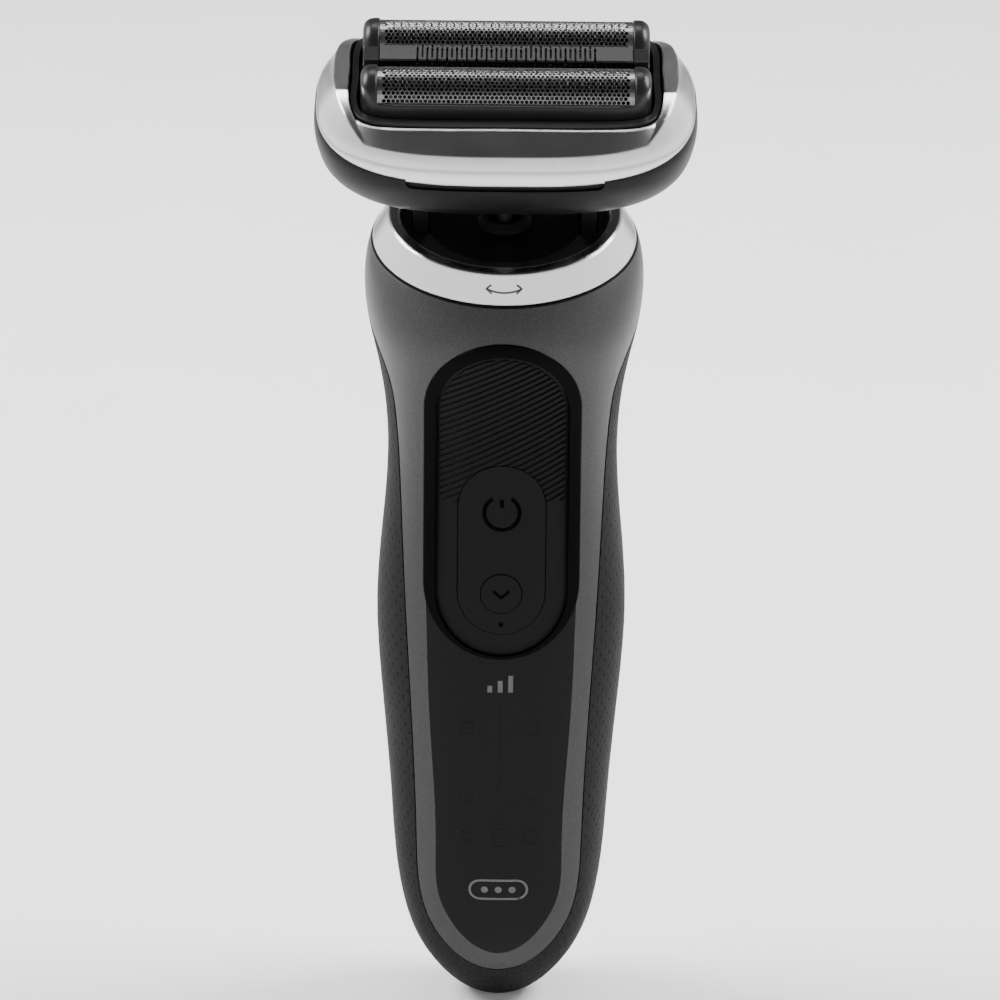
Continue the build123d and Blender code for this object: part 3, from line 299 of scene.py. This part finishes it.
def circuit_board(name):
    """Green solder resist with copper tracks just visible under it."""
    finish = Finish(name)
    bricks = finish.nodes.new("ShaderNodeTexBrick")
    finish.links.new(finish.stretched((1, 0, 1)), bricks.inputs["Vector"])
    bricks.inputs["Scale"].default_value = 420
    bricks.inputs["Color1"].default_value = (0.008, 0.06, 0.022, 1)
    bricks.inputs["Color2"].default_value = (0.012, 0.085, 0.03, 1)
    bricks.inputs["Mortar"].default_value = (0.03, 0.14, 0.05, 1)
    finish.connect("Base Color", bricks.outputs["Color"])
    finish.connect("Roughness", finish.span(finish.noise(1.5), 0.28, 0.42))
    finish.bump((bricks.outputs["Fac"], 0.02), edge=0.05)
    return finish.material


def wound_copper(name):
    """Layers of enamelled wire, wound one turn above the other, with painted shade in the grooves between
    turns.
    """
    finish = Finish(name)
    split = finish.nodes.new("ShaderNodeSeparateXYZ")
    finish.links.new(finish.place, split.inputs[0])
    turns = finish.math("SINE", finish.math("MULTIPLY", split.outputs[2], 2 * pi / (0.32 * MM)))
    height = finish.span(turns, 0.0, 1.0, -1.0, 1.0)
    # the crests take the wire's copper colour; the near-black grooves between turns are painted shade
    dark, bright = (0.09, 0.02, 0.006), (0.5, 0.17, 0.06)
    finish.connect("Base Color", finish.colours(height, (0.0, dark), (1.0, bright)))
    finish.connect("Roughness", finish.span(finish.noise(0.8), 0.25, 0.4))
    finish.socket("Metallic", 0.9)
    finish.bump((height, 0.1), edge=0.05)
    return finish.material


def capped_comb(name):
    """The middle trimmer: a bare steel plate on top, and near-black, non-metallic below it."""
    finish = Finish(name)
    from_head = finish.nodes.new("ShaderNodeVectorMath")
    from_head.operation = "SUBTRACT"
    finish.links.new(finish.place, from_head.inputs[0])
    from_head.inputs[1].default_value = HEAD_ORIGIN * MM
    lift = finish.nodes.new("ShaderNodeVectorMath")
    lift.operation = "DOT_PRODUCT"
    finish.links.new(from_head.outputs[0], lift.inputs[0])
    lift.inputs[1].default_value = (0, -sin(HEAD_TILT), cos(HEAD_TILT))
    plate = finish.math("GREATER_THAN", lift.outputs["Value"], COMB_PLATE_BOTTOM * MM)
    fine = finish.noise(0.12, 4.0, 0.65, ACROSS)
    bright = finish.math("MULTIPLY", plate, finish.span(fine, 0.5, 1.0))
    finish.connect("Base Color", finish.colours(bright, (0.0, grey(0.003)), (1.0, grey(0.13))))
    finish.connect("Metallic", finish.math("MULTIPLY", plate, 0.9))
    finish.connect("Roughness", finish.span(fine, 0.3, 0.42))
    finish.socket("Specular IOR Level", 0.1)
    finish.bump((fine, 0.002), edge=0.05)
    return finish.material


# ---------------------------------------------------------------- the finishes

FINISHES = {
    "grey_shell": flake_paint("grey_flake_paint", grey(0.024), 0.42),
    "rubber": dimpled_rubber("dimpled_rubber", grey(0.0072)),
    "dark_shell": moulded("dark_shell_plastic", grey(0.011), 0.5, shine=0.1),
    "screw_steel": metal("screw_steel", (0.42, 0.42, 0.43), 0.32, ACROSS),
    "gloss_black": moulded("gloss_black_lacquer", grey(0.0003), 0.06, 0.9, 0.0006, 0.3, shine=0.03),
    "pad_black": moulded("matt_pad_black", grey(0.0041), 0.46, 0.18, 0.008, shine=0.07),
    "panel_black": moulded("panel_black_plastic", grey(0.0042), 0.36, 0.4, 0.003, shine=0.07),
    "mark_black": moulded("mark_gloss_black", grey(0.0002), 0.2, 0.5, 0.001, 0.3, shine=0.015),
    "symbol_dark": moulded("symbol_dark_print", grey(0.0034), 0.36, 0.4, 0.003, shine=0.07),
    "mark_grey": moulded("mark_grey_print", grey(0.07), 0.45, 0.2, 0.003),
    "diffuser_white": moulded("milky_diffuser", (0.55, 0.56, 0.57), 0.42),
    "satin_silver": metal("satin_silver", (0.6, 0.6, 0.61), 0.22, None, 0.1, 0.0012, 0.05, edge=0.5),
    "neck_black": moulded("neck_black_plastic", grey(0.0026), 0.42, shine=0.08),
    "fork_grey": moulded("fork_plastic", grey(0.006), 0.36),
    "chassis_plastic": moulded("chassis_plastic", grey(0.03), 0.5),
    "cell_wrap": moulded("cell_wrap_film", (0.012, 0.05, 0.16), 0.24, 1.2, 0.01),
    "nickel": metal("nickel_strip", (0.52, 0.5, 0.46), 0.24, ACROSS),
    "board_green": circuit_board("circuit_board"),
    "led_clear": moulded("led_lens", (0.62, 0.64, 0.6), 0.16, 0.6, 0.004),
    "core_steel": metal("laminated_core", (0.2, 0.2, 0.21), 0.4, (0.05, 0.05, 1), 0.3, 0.02),
    "coil_copper": wound_copper("wound_copper"),
    "inlet_black": moulded("inlet_plastic", grey(0.007), 0.4),
    "foil_steel": metal("foil_steel", (0.2, 0.2, 0.205), 0.3, None, 0.08, 0.001, 0.1, edge=0.02),
    # the cutters' near-black steel is painted shade of the head's inside, where it shows through the foil
    # holes
    "cutter_steel": metal("cutter_steel", (0.035, 0.035, 0.036), 0.36, ACROSS, edge=0.04),
    "frame_black": moulded("holder_black_plastic", grey(0.009), 0.3, 0.3, 0.004, edge=0.25, shine=0.2),
    "comb_steel": capped_comb("capped_comb"),
    "spring_steel": metal("spring_steel", (0.4, 0.4, 0.42), 0.28, edge=0.02),
}

SLOT_OF_NODE = {row["node"]: row["material_slot"] for row in frame["record"]["subparts"]}


def dress(piece, finish):
    """Gives a piece that finish, which is named after its material slot where it has one."""
    piece.data.materials.clear()
    piece.data.materials.append(FINISHES[finish])


for node_name, node in NODES.items():
    dress(node, SLOT_OF_NODE[node_name])

# ---------------------------------------------------------------- building and placing pieces


def to_object(mesh, name, finish, body):
    """Turns a bmesh in millimetres into a piece that rides on a body."""
    data = bpy.data.meshes.new(name)
    bmesh.ops.scale(mesh, vec=(MM, MM, MM), verts=mesh.verts)
    mesh.to_mesh(data)
    mesh.free()
    piece = bpy.data.objects.new(name, data)
    bpy.context.scene.collection.objects.link(piece)
    dress(piece, finish)
    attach(piece, body)
    return piece


def apply_modifiers(piece):
    """Bakes a piece's modifiers into its mesh."""
    bpy.context.view_layer.update()
    evaluated = piece.evaluated_get(bpy.context.evaluated_depsgraph_get())
    data = bpy.data.meshes.new_from_object(evaluated)
    piece.modifiers.clear()
    piece.data = data
    return piece


def softened(node_name, name, voxel, rounds):
    """Stands in for a CAD node with the same shape, its edges rounded as a moulding's are."""
    node = NODES[node_name]
    piece = bpy.data.objects.new(name, node.data.copy())
    bpy.context.scene.collection.objects.link(piece)
    remesh = piece.modifiers.new("remesh", "REMESH")
    remesh.mode = "VOXEL"
    remesh.voxel_size = voxel * MM
    smooth = piece.modifiers.new("smooth", "SMOOTH")
    smooth.factor = 0.5
    smooth.iterations = rounds
    apply_modifiers(piece)
    piece.data.shade_smooth()
    dress(piece, SLOT_OF_NODE[node_name])
    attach(piece, node["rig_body"])
    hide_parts(node_name)
    return piece


def resampled(points, step):
    """The same line with a point at least every step mm."""
    line = [Vector(points[0])]
    for point in points[1:]:
        start, end = line[-1].copy(), Vector(point)
        pieces = max(1, ceil((end - start).length / step))
        line += [start.lerp(end, (i + 1) / pieces) for i in range(pieces)]
    return line


def arc(centre, radius, start, end, count=24):
    """Points on a circle's arc, angles in degrees counted from the right and upwards."""
    turns = [radians(start + (end - start) * i / (count - 1)) for i in range(count)]
    return [(centre[0] + radius * cos(t), centre[1] + radius * sin(t)) for t in turns]


class Draping:
    """Lays thin marks on the front of a CAD node."""

    def __init__(self, node_name):
        node = NODES[node_name]
        self.body = node["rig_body"]
        corners = [vertex.co for vertex in node.data.vertices]
        faces = [tuple(face.vertices) for face in node.data.polygons]
        self.tree = BVHTree.FromPolygons(corners, faces)

    def point(self, x, z, out):
        """The surface point in front of (x, z), moved out mm along the surface's normal."""
        hit, normal, _, _ = self.tree.ray_cast(Vector((x * MM, -0.2, z * MM)), Vector((0, 1, 0)))
        if normal.y > 0:
            normal = -normal
        return hit / MM + normal * out

    def ribbon(self, mesh, points, width):
        """Adds a line of that width, as a thin solid strip."""
        line = resampled(points, STROKE_STEP)
        rows = []
        for index, middle in enumerate(line):
            before, after = line[max(index - 1, 0)], line[min(index + 1, len(line) - 1)]
            along = (after - before).normalized()
            aside = Vector((-along.y, along.x)) * width / 2
            rows.append([middle + aside * side for side in (1, 0, -1)])
        outer = [[mesh.verts.new(self.point(p.x, p.y, PROUD)) for p in row] for row in rows]
        inner = [[mesh.verts.new(self.point(p.x, p.y, -INLAY_DEPTH)) for p in row] for row in rows]
        last = len(rows) - 1
        for i in range(last):
            for k in range(2):
                mesh.faces.new((outer[i][k], outer[i][k + 1], outer[i + 1][k + 1], outer[i + 1][k]))
                mesh.faces.new((inner[i][k], inner[i + 1][k], inner[i + 1][k + 1], inner[i][k + 1]))
            mesh.faces.new((outer[i][0], outer[i + 1][0], inner[i + 1][0], inner[i][0]))
            mesh.faces.new((outer[i][2], inner[i][2], inner[i + 1][2], outer[i + 1][2]))
        for k in range(2):
            mesh.faces.new((outer[0][k], inner[0][k], inner[0][k + 1], outer[0][k + 1]))
            mesh.faces.new((outer[last][k], outer[last][k + 1], inner[last][k + 1], inner[last][k]))

    def disc(self, mesh, centre, radius, count=20):
        """Adds a small round patch."""
        rims = []
        for out in (PROUD, -INLAY_DEPTH):
            ring = arc(centre, radius, 0, 360 * (count - 1) / count, count)
            rim = [mesh.verts.new(self.point(x, z, out)) for x, z in ring]
            middle = mesh.verts.new(self.point(*centre, out))
            for i in range(count):
                mesh.faces.new((middle, rim[i], rim[(i + 1) % count]))
            rims.append(rim)
        for i in range(count):
            after = (i + 1) % count
            mesh.faces.new((rims[0][i], rims[1][i], rims[1][after], rims[0][after]))


def mark(name, node_name, finish, lines, width, discs=()):
    """One printed or moulded mark made of lines and dots, on a node's front."""
    draping = Draping(node_name)
    mesh = bmesh.new()
    for line in lines:
        draping.ribbon(mesh, line, width)
    for centre, radius in discs:
        draping.disc(mesh, centre, radius)
    bmesh.ops.recalc_face_normals(mesh, faces=mesh.faces)
    return to_object(mesh, name, finish, draping.body)


# ---------------------------------------------------------------- perforated foils


def head_point(x, y, z):
    """A point given in the leaning head's own directions, in the frame's."""
    return HEAD_ORIGIN + Vector(
        (
            x,
            y * cos(HEAD_TILT) - z * sin(HEAD_TILT),
            y * sin(HEAD_TILT) + z * cos(HEAD_TILT),
        )
    )


def foil_place(side, x, along, inset):
    """A point of the foil: along is measured round the arch from its top, then down a leg."""
    radius = FOIL_RADIUS - inset
    quarter = pi / 2 * FOIL_RADIUS
    if abs(along) <= quarter:
        turn = along / FOIL_RADIUS
        y, z = radius * sin(turn), radius * cos(turn)
    else:
        y = radius if along > 0 else -radius
        z = quarter - abs(along)
    return head_point(x, side * FOIL_OFFSET + y, FOIL_AXIS + z)


def perforated_foil(name, node_name, side):
    """A thin arched sheet with a honeycomb of real holes, in place of the CAD foil."""
    reach = pi / 2 * FOIL_RADIUS + FOIL_LEG
    row_pitch = CELL_PITCH * cos(radians(30))
    rows = ceil(reach / row_pitch) + 1
    columns = ceil(FOIL_HALF_LENGTH / CELL_PITCH) + 1
    cell_radius = CELL_PITCH / 2 / cos(radians(30))
    turns = [radians(60 * k + 30) for k in range(6)]
    flat = bmesh.new()
    for row in range(-rows, rows + 1):
        for column in range(-columns, columns + 1):
            x = (column + (0.5 if row % 2 else 0)) * CELL_PITCH
            along = row * row_pitch
            corners = [
                (
                    min(max(x + cell_radius * cos(t), -FOIL_HALF_LENGTH), FOIL_HALF_LENGTH),
                    min(max(along + cell_radius * sin(t), -reach), reach),
                )
                for t in turns
            ]
            outer = [flat.verts.new((u, v, 0)) for u, v in corners]
            perforated = (
                abs(x) < PERFORATED_HALF_LENGTH
                and abs(along) < PERFORATED_TURN * FOIL_RADIUS
            )
            if not perforated:
                flat.faces.new(outer)
                continue
            inner = [
                flat.verts.new((x + CELL_HOLE * cos(t), along + CELL_HOLE * sin(t), 0))
                for t in turns
            ]
            for k in range(6):
                after = (k + 1) % 6
                flat.faces.new((outer[k], outer[after], inner[after], inner[k]))
    bmesh.ops.remove_doubles(flat, verts=flat.verts, dist=0.01)
    empty = [face for face in flat.faces if face.calc_area() < 1e-6]
    bmesh.ops.delete(flat, geom=empty, context="FACES")
    bmesh.ops.dissolve_degenerate(flat, edges=flat.edges, dist=0.001)
    for vertex in flat.verts:
        vertex.co = foil_place(side, vertex.co.x, vertex.co.y, 0.02)
    bmesh.ops.recalc_face_normals(flat, faces=flat.faces)
    piece = to_object(flat, name, "foil_steel", NODES[node_name]["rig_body"])
    thick = piece.modifiers.new("thickness", "SOLIDIFY")
    thick.thickness = FOIL_SHEET * MM
    thick.offset = -1
    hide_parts(node_name)
    return piece


perforated_foil("front_foil_mesh", "front_foil", -1)
perforated_foil("rear_foil_mesh", "rear_foil", 1)
softened("front_foil_frame", "front_foil_holder", 0.16, 8)
softened("rear_foil_frame", "rear_foil_holder", 0.16, 8)
softened("trimmer_frame", "trimmer_holder", 0.14, 6)


def shortening_springs(node_name, name):
    """Stands in for a pair of springs with a copy of their mesh, riding on their unit's body."""
    node = NODES[node_name]
    piece = bpy.data.objects.new(name, node.data.copy())
    bpy.context.scene.collection.objects.link(piece)
    dress(piece, "spring_steel")
    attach(piece, node["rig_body"])
    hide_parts(node_name)
    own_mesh(piece)


shortening_springs("front_foil_springs", "front_foil_coils")
shortening_springs("rear_foil_springs", "rear_foil_coils")
shortening_springs("trimmer_springs", "trimmer_coils")

# ---------------------------------------------------------------- marks on the front

POWER_HEIGHT, ROUND_BUTTON_HEIGHT, LAMP_HEIGHT = 91.6, 77.8, 72.5

mark(
    "power_mark",
    "power_button",
    "mark_black",
    [arc((0, POWER_HEIGHT), 2.85, 122, 418, 48), [(0, POWER_HEIGHT + 0.9), (0, POWER_HEIGHT + 2.3)]],
    0.66,
)
chevron = [
    (-1.35, ROUND_BUTTON_HEIGHT + 0.55),
    (0, ROUND_BUTTON_HEIGHT - 0.65),
    (1.35, ROUND_BUTTON_HEIGHT + 0.55),
]
mark("chevron_mark", "function_button", "mark_black", [chevron], 0.5)
mark("lamp_dot", "power_button", "mark_black", [], 0, [((0, LAMP_HEIGHT), 0.42)])

BARS_BOTTOM, BADGE_HEIGHT = 60.6, 24.3
level_bars = [
    [(x, BARS_BOTTOM), (x, BARS_BOTTOM + tall)] for x, tall in ((-1.7, 1.2), (0, 2.1), (1.7, 3.0))
]
mark("level_mark", "display_panel", "mark_grey", level_bars, 0.8)


def pill(half_width, half_height, centre):
    """The outline of a bar with round ends, lying on its side, as one closed line."""
    reach = half_width - half_height
    right = arc((centre[0] + reach, centre[1]), half_height, -90, 90, 10)
    left = arc((centre[0] - reach, centre[1]), half_height, 90, 270, 10)
    return right + left + right[:2]


mark(
    "badge_mark",
    "display_panel",
    "mark_grey",
    [pill(4.8, 1.75, (0, BADGE_HEIGHT))],
    0.42,
    [((x, BADGE_HEIGHT), 0.6) for x in (-2.3, 0, 2.3)],
)

def symbols():
    """The hidden symbols of the display, which hardly show while it is off."""
    drop = arc((5.5, 53.8), 1.05, 150, 390, 16)
    drop = drop + [(5.5, 56.4), drop[0]]
    padlock = [(-6.5, 53.0), (-4.5, 53.0), (-4.5, 54.8), (-6.5, 54.8), (-6.5, 53.0)]
    shackle = arc((-5.5, 54.8), 0.7, 0, 180, 10)
    cell = [(-0.9, 32.4), (0.9, 32.4), (0.9, 35.6), (-0.9, 35.6), (-0.9, 32.4)]
    plug = [(-5.5, 32.2), (-5.5, 33.4), (-4.7, 33.4), (-4.7, 34.9)]
    plug += [(-6.3, 34.9), (-6.3, 33.4), (-5.5, 33.4)]
    clock = arc((5.3, 34.0), 1.3, 0, 360, 24)
    level = [(0, 42.5), (0, 59.0)]
    comb = [[(x, 40.2), (x, 42.0)] for x in (-6.3, -5.7, -5.1, -4.5)]
    brush = [[(x, 40.2), (x, 41.4)] for x in (4.6, 5.2, 5.8)]
    return [drop, padlock, shackle, cell, plug, clock, level, *comb, *brush]


mark("hidden_symbols", "display_panel", "symbol_dark", symbols(), 0.24)

# a two-headed arc on the collar ring says that the head swivels
SWIVEL_HEIGHT, SWIVEL_RADIUS = 129.2, 7.0
swivel = arc((0, SWIVEL_HEIGHT + SWIVEL_RADIUS), SWIVEL_RADIUS, 246, 294, 22)
left_end, right_end = swivel[0], swivel[-1]
mark(
    "swivel_mark",
    "collar_ring",
    "mark_grey",
    [
        swivel,
        [(left_end[0] + 0.85, left_end[1] + 0.62), left_end, (left_end[0] + 0.9, left_end[1] - 0.75)],
        [(right_end[0] - 0.85, right_end[1] + 0.62), right_end, (right_end[0] - 0.9, right_end[1] - 0.75)],
    ],
    0.32,
)

# ---------------------------------------------------------------- floor, light and camera


def studio():
    """A pale floor, a soft wide sky and three softboxes."""
    mesh = bmesh.new()
    bmesh.ops.create_grid(mesh, x_segments=8, y_segments=8, size=FLOOR_SIZE / 2)
    data = bpy.data.meshes.new("floor")
    mesh.to_mesh(data)
    mesh.free()
    floor = bpy.data.objects.new("floor", data)
    floor.location = (0, 0, cad_box[0].z - 0.0002)
    bpy.context.scene.collection.objects.link(floor)
    paint = Finish("floor_paint")
    paint.connect("Base Color", paint.colours(paint.noise(60), (0.3, grey(0.88)), (0.7, grey(0.91))))
    paint.socket("Roughness", 0.75)
    data.materials.append(paint.material)

    world = bpy.data.worlds.new("studio")
    bpy.context.scene.world = world
    world.use_nodes = True
    nodes, links = world.node_tree.nodes, world.node_tree.links
    direction = nodes.new("ShaderNodeTexCoord")
    split = nodes.new("ShaderNodeSeparateXYZ")
    ramp = nodes.new("ShaderNodeValToRGB")
    links.new(direction.outputs["Generated"], split.inputs[0])
    links.new(split.outputs[2], ramp.inputs["Fac"])
    while len(ramp.color_ramp.elements) < len(SKY_STOPS):
        ramp.color_ramp.elements.new(0.5)
    for element, (position, level) in zip(ramp.color_ramp.elements, SKY_STOPS):
        element.position = position
        element.color = (level, level, level, 1)
    # the sky is dimmer straight behind the object, which the tops of the foils mirror
    behind = nodes.new("ShaderNodeMapRange")
    links.new(split.outputs[1], behind.inputs["Value"])
    behind.inputs["From Min"].default_value = BEHIND_START
    behind.inputs["From Max"].default_value = BEHIND_FULL
    behind.inputs["To Min"].default_value = 1.0
    behind.inputs["To Max"].default_value = BEHIND_SHARE
    dimmed = nodes.new("ShaderNodeVectorMath")
    dimmed.operation = "SCALE"
    links.new(ramp.outputs["Color"], dimmed.inputs[0])
    links.new(behind.outputs["Result"], dimmed.inputs["Scale"])
    background = nodes["Background"]
    links.new(dimmed.outputs[0], background.inputs["Color"])
    background.inputs["Strength"].default_value = SKY_STRENGTH

    for name, place, size, power in SOFTBOXES:
        light = bpy.data.lights.new(name, "AREA")
        light.shape = "RECTANGLE"
        light.size, light.size_y = size
        light.energy = power
        lamp = bpy.data.objects.new(name, light)
        lamp.location = place
        aim = Vector((0, 0, 0.09)) - Vector(place)
        lamp.rotation_euler = aim.to_track_quat("-Z", "Y").to_euler()
        bpy.context.scene.collection.objects.link(lamp)


studio()

camera_data = bpy.data.cameras.new("camera")
camera_data.lens = CAMERA_LENS
camera_data.sensor_width = 36
camera_data.clip_start, camera_data.clip_end = 0.01, 20
camera = bpy.data.objects.new("camera", camera_data)
back = Vector((0, -cos(CAMERA_ELEVATION), sin(CAMERA_ELEVATION)))
look = (-back).to_track_quat("-Z", "Y").to_matrix() @ Matrix.Rotation(CAMERA_ROLL, 3, "Z")
camera.matrix_world = Matrix.Translation(CAMERA_TARGET + back * CAMERA_DISTANCE) @ look.to_4x4()
bpy.context.scene.collection.objects.link(camera)
bpy.context.scene.camera = camera
